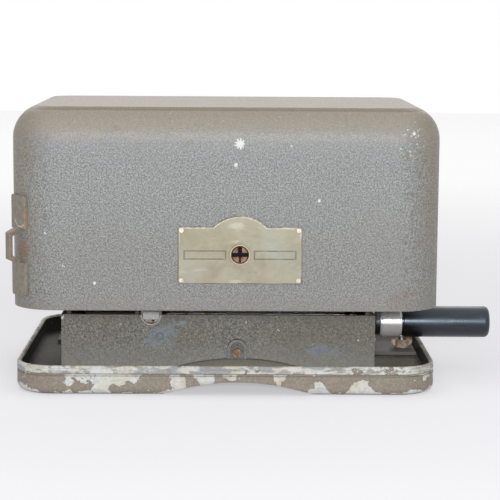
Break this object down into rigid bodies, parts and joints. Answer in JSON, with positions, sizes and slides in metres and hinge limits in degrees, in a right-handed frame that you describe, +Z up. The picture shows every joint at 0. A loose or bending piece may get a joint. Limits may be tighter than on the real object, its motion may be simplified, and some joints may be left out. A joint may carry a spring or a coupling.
{
  "type": "mechanical cipher machine",
  "caption": "Hand-cranked mechanical cipher machine: rounded lift-off metal hood with lock and bare plate, pin wheels, slide-bar drum and tape printer, on a shallow painted tray.",
  "frame": {"origin": "on the table, under the middle of the bounding box (crank grip and strap loops included)", "axes": "+X to the right, towards the crank; +Y to the back; +Z up"},
  "size_m": [0.2798, 0.17, 0.159],
  "materials": {
    "hood_paint": "grey hammered paint, chipped",
    "tray_paint": "grey-brown paint, flaked at the rim",
    "housing_paint": "dark grey-brown paint, worn",
    "steel": "bright turned steel",
    "rusty_steel": "rusted steel",
    "plate_metal": "dull nickel silver",
    "black_enamel": "black enamel",
    "chrome": "plated",
    "black_plastic": "black moulded plastic",
    "brass": "turned brass",
    "wheel_alloy": "turned light alloy",
    "white_plastic": "ivory enamel",
    "paper": "paper tape",
    "ink_rubber": "inked felt and rubber"
  },
  "bodies": {
    "base": {"tray": "tray_paint", "lower_housing": "housing_paint", "spacer_block": "hood_paint", "block_screw": "steel", "front_rivet": "housing_paint", "clamp_lug": "housing_paint", "clamp_screw": "rusty_steel", "clamp_studs": "steel", "wing_nuts": "rusty_steel", "frame_screws": "steel", "left_plate": "steel", "middle_plate": "steel", "right_plate": "steel", "tie_rods": "steel", "wheel_shaft": "steel", "pivot_rods": "steel", "print_posts": "steel", "paper_tape": "paper", "lock_keeper": "steel"},
    "crank": {"crank_arm": "black_enamel", "crank_ferrule": "chrome", "drum_shaft": "steel", "drum_discs": "brass", "slide_bars": "steel", "bar_lugs": "brass"},
    "grip": {"crank_grip": "black_plastic"},
    "wheel_26": {"pin_wheel_26": "wheel_alloy"},
    "wheel_25": {"pin_wheel_25": "wheel_alloy"},
    "wheel_23": {"pin_wheel_23": "wheel_alloy"},
    "wheel_21": {"pin_wheel_21": "wheel_alloy"},
    "wheel_19": {"pin_wheel_19": "wheel_alloy"},
    "wheel_17": {"pin_wheel_17": "wheel_alloy"},
    "guide_1": {"guide_arm_1": "steel"},
    "guide_2": {"guide_arm_2": "steel"},
    "guide_3": {"guide_arm_3": "steel"},
    "guide_4": {"guide_arm_4": "steel"},
    "guide_5": {"guide_arm_5": "steel"},
    "guide_6": {"guide_arm_6": "steel"},
    "feed": {"feed_comb": "brass"},
    "setting": {"setting_shaft": "steel", "indicator_disc": "wheel_alloy", "type_wheel": "brass", "setting_gear": "brass", "setting_knob": "black_plastic"},
    "idler": {"idler_gear": "brass"},
    "counter_units": {"counter_units": "white_plastic"},
    "counter_tens": {"counter_tens": "white_plastic"},
    "counter_hundreds": {"counter_hundreds": "white_plastic"},
    "roll": {"paper_roll": "paper"},
    "feed_roll": {"feed_roller": "ink_rubber"},
    "ink": {"ink_roller": "ink_rubber"},
    "hammer": {"print_hammer": "steel"},
    "mode": {"mode_knob": "black_plastic"},
    "hood": {"hood_shell": "hood_paint", "hood_ledges": "hood_paint", "strap_loops": "hood_paint", "name_plate": "plate_metal", "plate_rivets": "steel"},
    "lock": {"lock_barrel": "steel", "lock_cam": "steel"}
  },
  "joints": [
    {"name": "crank_turn", "type": "hinge", "parent": "base", "child": "crank", "pos_m": [0.04297, -0.01, 0.057], "axis": [1, 0, 0], "continuous": true},
    {"name": "grip_spin", "type": "hinge", "parent": "crank", "child": "grip", "pos_m": [0.11297, -0.01, 0.0288], "axis": [1, 0, 0], "continuous": true},
    {"name": "wheel_26_step", "type": "hinge", "parent": "base", "child": "wheel_26", "pos_m": [-0.04603, -0.034, 0.105], "axis": [1, 0, 0], "continuous": true},
    {"name": "wheel_25_step", "type": "hinge", "parent": "base", "child": "wheel_25", "pos_m": [-0.02803, -0.034, 0.105], "axis": [1, 0, 0], "continuous": true},
    {"name": "wheel_23_step", "type": "hinge", "parent": "base", "child": "wheel_23", "pos_m": [-0.01003, -0.034, 0.105], "axis": [1, 0, 0], "continuous": true},
    {"name": "wheel_21_step", "type": "hinge", "parent": "base", "child": "wheel_21", "pos_m": [0.00797, -0.034, 0.105], "axis": [1, 0, 0], "continuous": true},
    {"name": "wheel_19_step", "type": "hinge", "parent": "base", "child": "wheel_19", "pos_m": [0.02597, -0.034, 0.105], "axis": [1, 0, 0], "continuous": true},
    {"name": "wheel_17_step", "type": "hinge", "parent": "base", "child": "wheel_17", "pos_m": [0.04397, -0.034, 0.105], "axis": [1, 0, 0], "continuous": true},
    {"name": "guide_1_swing", "type": "hinge", "parent": "base", "child": "guide_1", "pos_m": [-0.03983, -0.046, 0.081], "axis": [1, 0, 0], "range_deg": [0, 10]},
    {"name": "guide_2_swing", "type": "hinge", "parent": "base", "child": "guide_2", "pos_m": [-0.02183, -0.046, 0.081], "axis": [1, 0, 0], "range_deg": [0, 10]},
    {"name": "guide_3_swing", "type": "hinge", "parent": "base", "child": "guide_3", "pos_m": [-0.00383, -0.046, 0.081], "axis": [1, 0, 0], "range_deg": [0, 10]},
    {"name": "guide_4_swing", "type": "hinge", "parent": "base", "child": "guide_4", "pos_m": [0.01417, -0.046, 0.081], "axis": [1, 0, 0], "range_deg": [0, 10]},
    {"name": "guide_5_swing", "type": "hinge", "parent": "base", "child": "guide_5", "pos_m": [0.03217, -0.046, 0.081], "axis": [1, 0, 0], "range_deg": [0, 10]},
    {"name": "guide_6_swing", "type": "hinge", "parent": "base", "child": "guide_6", "pos_m": [0.05017, -0.046, 0.081], "axis": [1, 0, 0], "range_deg": [0, 10]},
    {"name": "feed_rock", "type": "hinge", "parent": "base", "child": "feed", "pos_m": [0.00297, -0.004, 0.118], "axis": [1, 0, 0], "range_deg": [-4, 0]},
    {"name": "setting_turn", "type": "hinge", "parent": "base", "child": "setting", "pos_m": [-0.08503, -0.034, 0.105], "axis": [1, 0, 0], "continuous": true},
    {"name": "idler_turn", "type": "hinge", "parent": "base", "child": "idler", "pos_m": [-0.06383, -0.01583, 0.09617], "axis": [1, 0, 0], "continuous": true},
    {"name": "count_units", "type": "hinge", "parent": "base", "child": "counter_units", "pos_m": [-0.07503, -0.038, 0.066], "axis": [1, 0, 0], "continuous": true},
    {"name": "count_tens", "type": "hinge", "parent": "base", "child": "counter_tens", "pos_m": [-0.08203, -0.038, 0.066], "axis": [1, 0, 0], "continuous": true},
    {"name": "count_hundreds", "type": "hinge", "parent": "base", "child": "counter_hundreds", "pos_m": [-0.08903, -0.038, 0.066], "axis": [1, 0, 0], "continuous": true},
    {"name": "roll_turn", "type": "hinge", "parent": "base", "child": "roll", "pos_m": [-0.08503, 0.028, 0.075], "axis": [1, 0, 0], "continuous": true},
    {"name": "feed_roll_turn", "type": "hinge", "parent": "base", "child": "feed_roll", "pos_m": [-0.08503, -0.057, 0.11736], "axis": [1, 0, 0], "continuous": true},
    {"name": "ink_turn", "type": "hinge", "parent": "base", "child": "ink", "pos_m": [-0.08503, -0.01182, 0.09693], "axis": [1, 0, 0], "continuous": true},
    {"name": "hammer_press", "type": "hinge", "parent": "base", "child": "hammer", "pos_m": [-0.08503, 0.006, 0.129], "axis": [1, 0, 0], "range_deg": [0, 2.5], "stiffness_Nm_per_rad": 0.03, "springref_deg": -17.19},
    {"name": "mode_turn", "type": "hinge", "parent": "base", "child": "mode", "pos_m": [-0.10903, 0.025, 0.108], "axis": [1, 0, 0], "range_deg": [0, 90]},
    {"name": "hood_lift", "type": "slide", "parent": "base", "child": "hood", "axis": [0, 0, 1], "range_m": [0, 0.2]},
    {"name": "lock_turn", "type": "hinge", "parent": "hood", "child": "lock", "pos_m": [-0.00928, -0.074, 0.0784], "axis": [0, -1, 0], "range_deg": [0, 90]}
  ],
  "couplings": [
    {"joint": "wheel_26_step", "follows": "crank_turn", "ratio": -0.038462},
    {"joint": "wheel_25_step", "follows": "crank_turn", "ratio": -0.04},
    {"joint": "wheel_23_step", "follows": "crank_turn", "ratio": -0.043478},
    {"joint": "wheel_21_step", "follows": "crank_turn", "ratio": -0.047619},
    {"joint": "wheel_19_step", "follows": "crank_turn", "ratio": -0.052632},
    {"joint": "wheel_17_step", "follows": "crank_turn", "ratio": -0.058824},
    {"joint": "idler_turn", "follows": "setting_turn", "ratio": -1},
    {"joint": "count_units", "follows": "crank_turn", "ratio": -0.1},
    {"joint": "count_tens", "follows": "crank_turn", "ratio": -0.01},
    {"joint": "count_hundreds", "follows": "crank_turn", "ratio": -0.001},
    {"joint": "roll_turn", "follows": "crank_turn", "ratio": 0.0181},
    {"joint": "feed_roll_turn", "follows": "crank_turn", "ratio": 0.0663},
    {"joint": "ink_turn", "follows": "setting_turn", "ratio": -3.6}
  ]
}
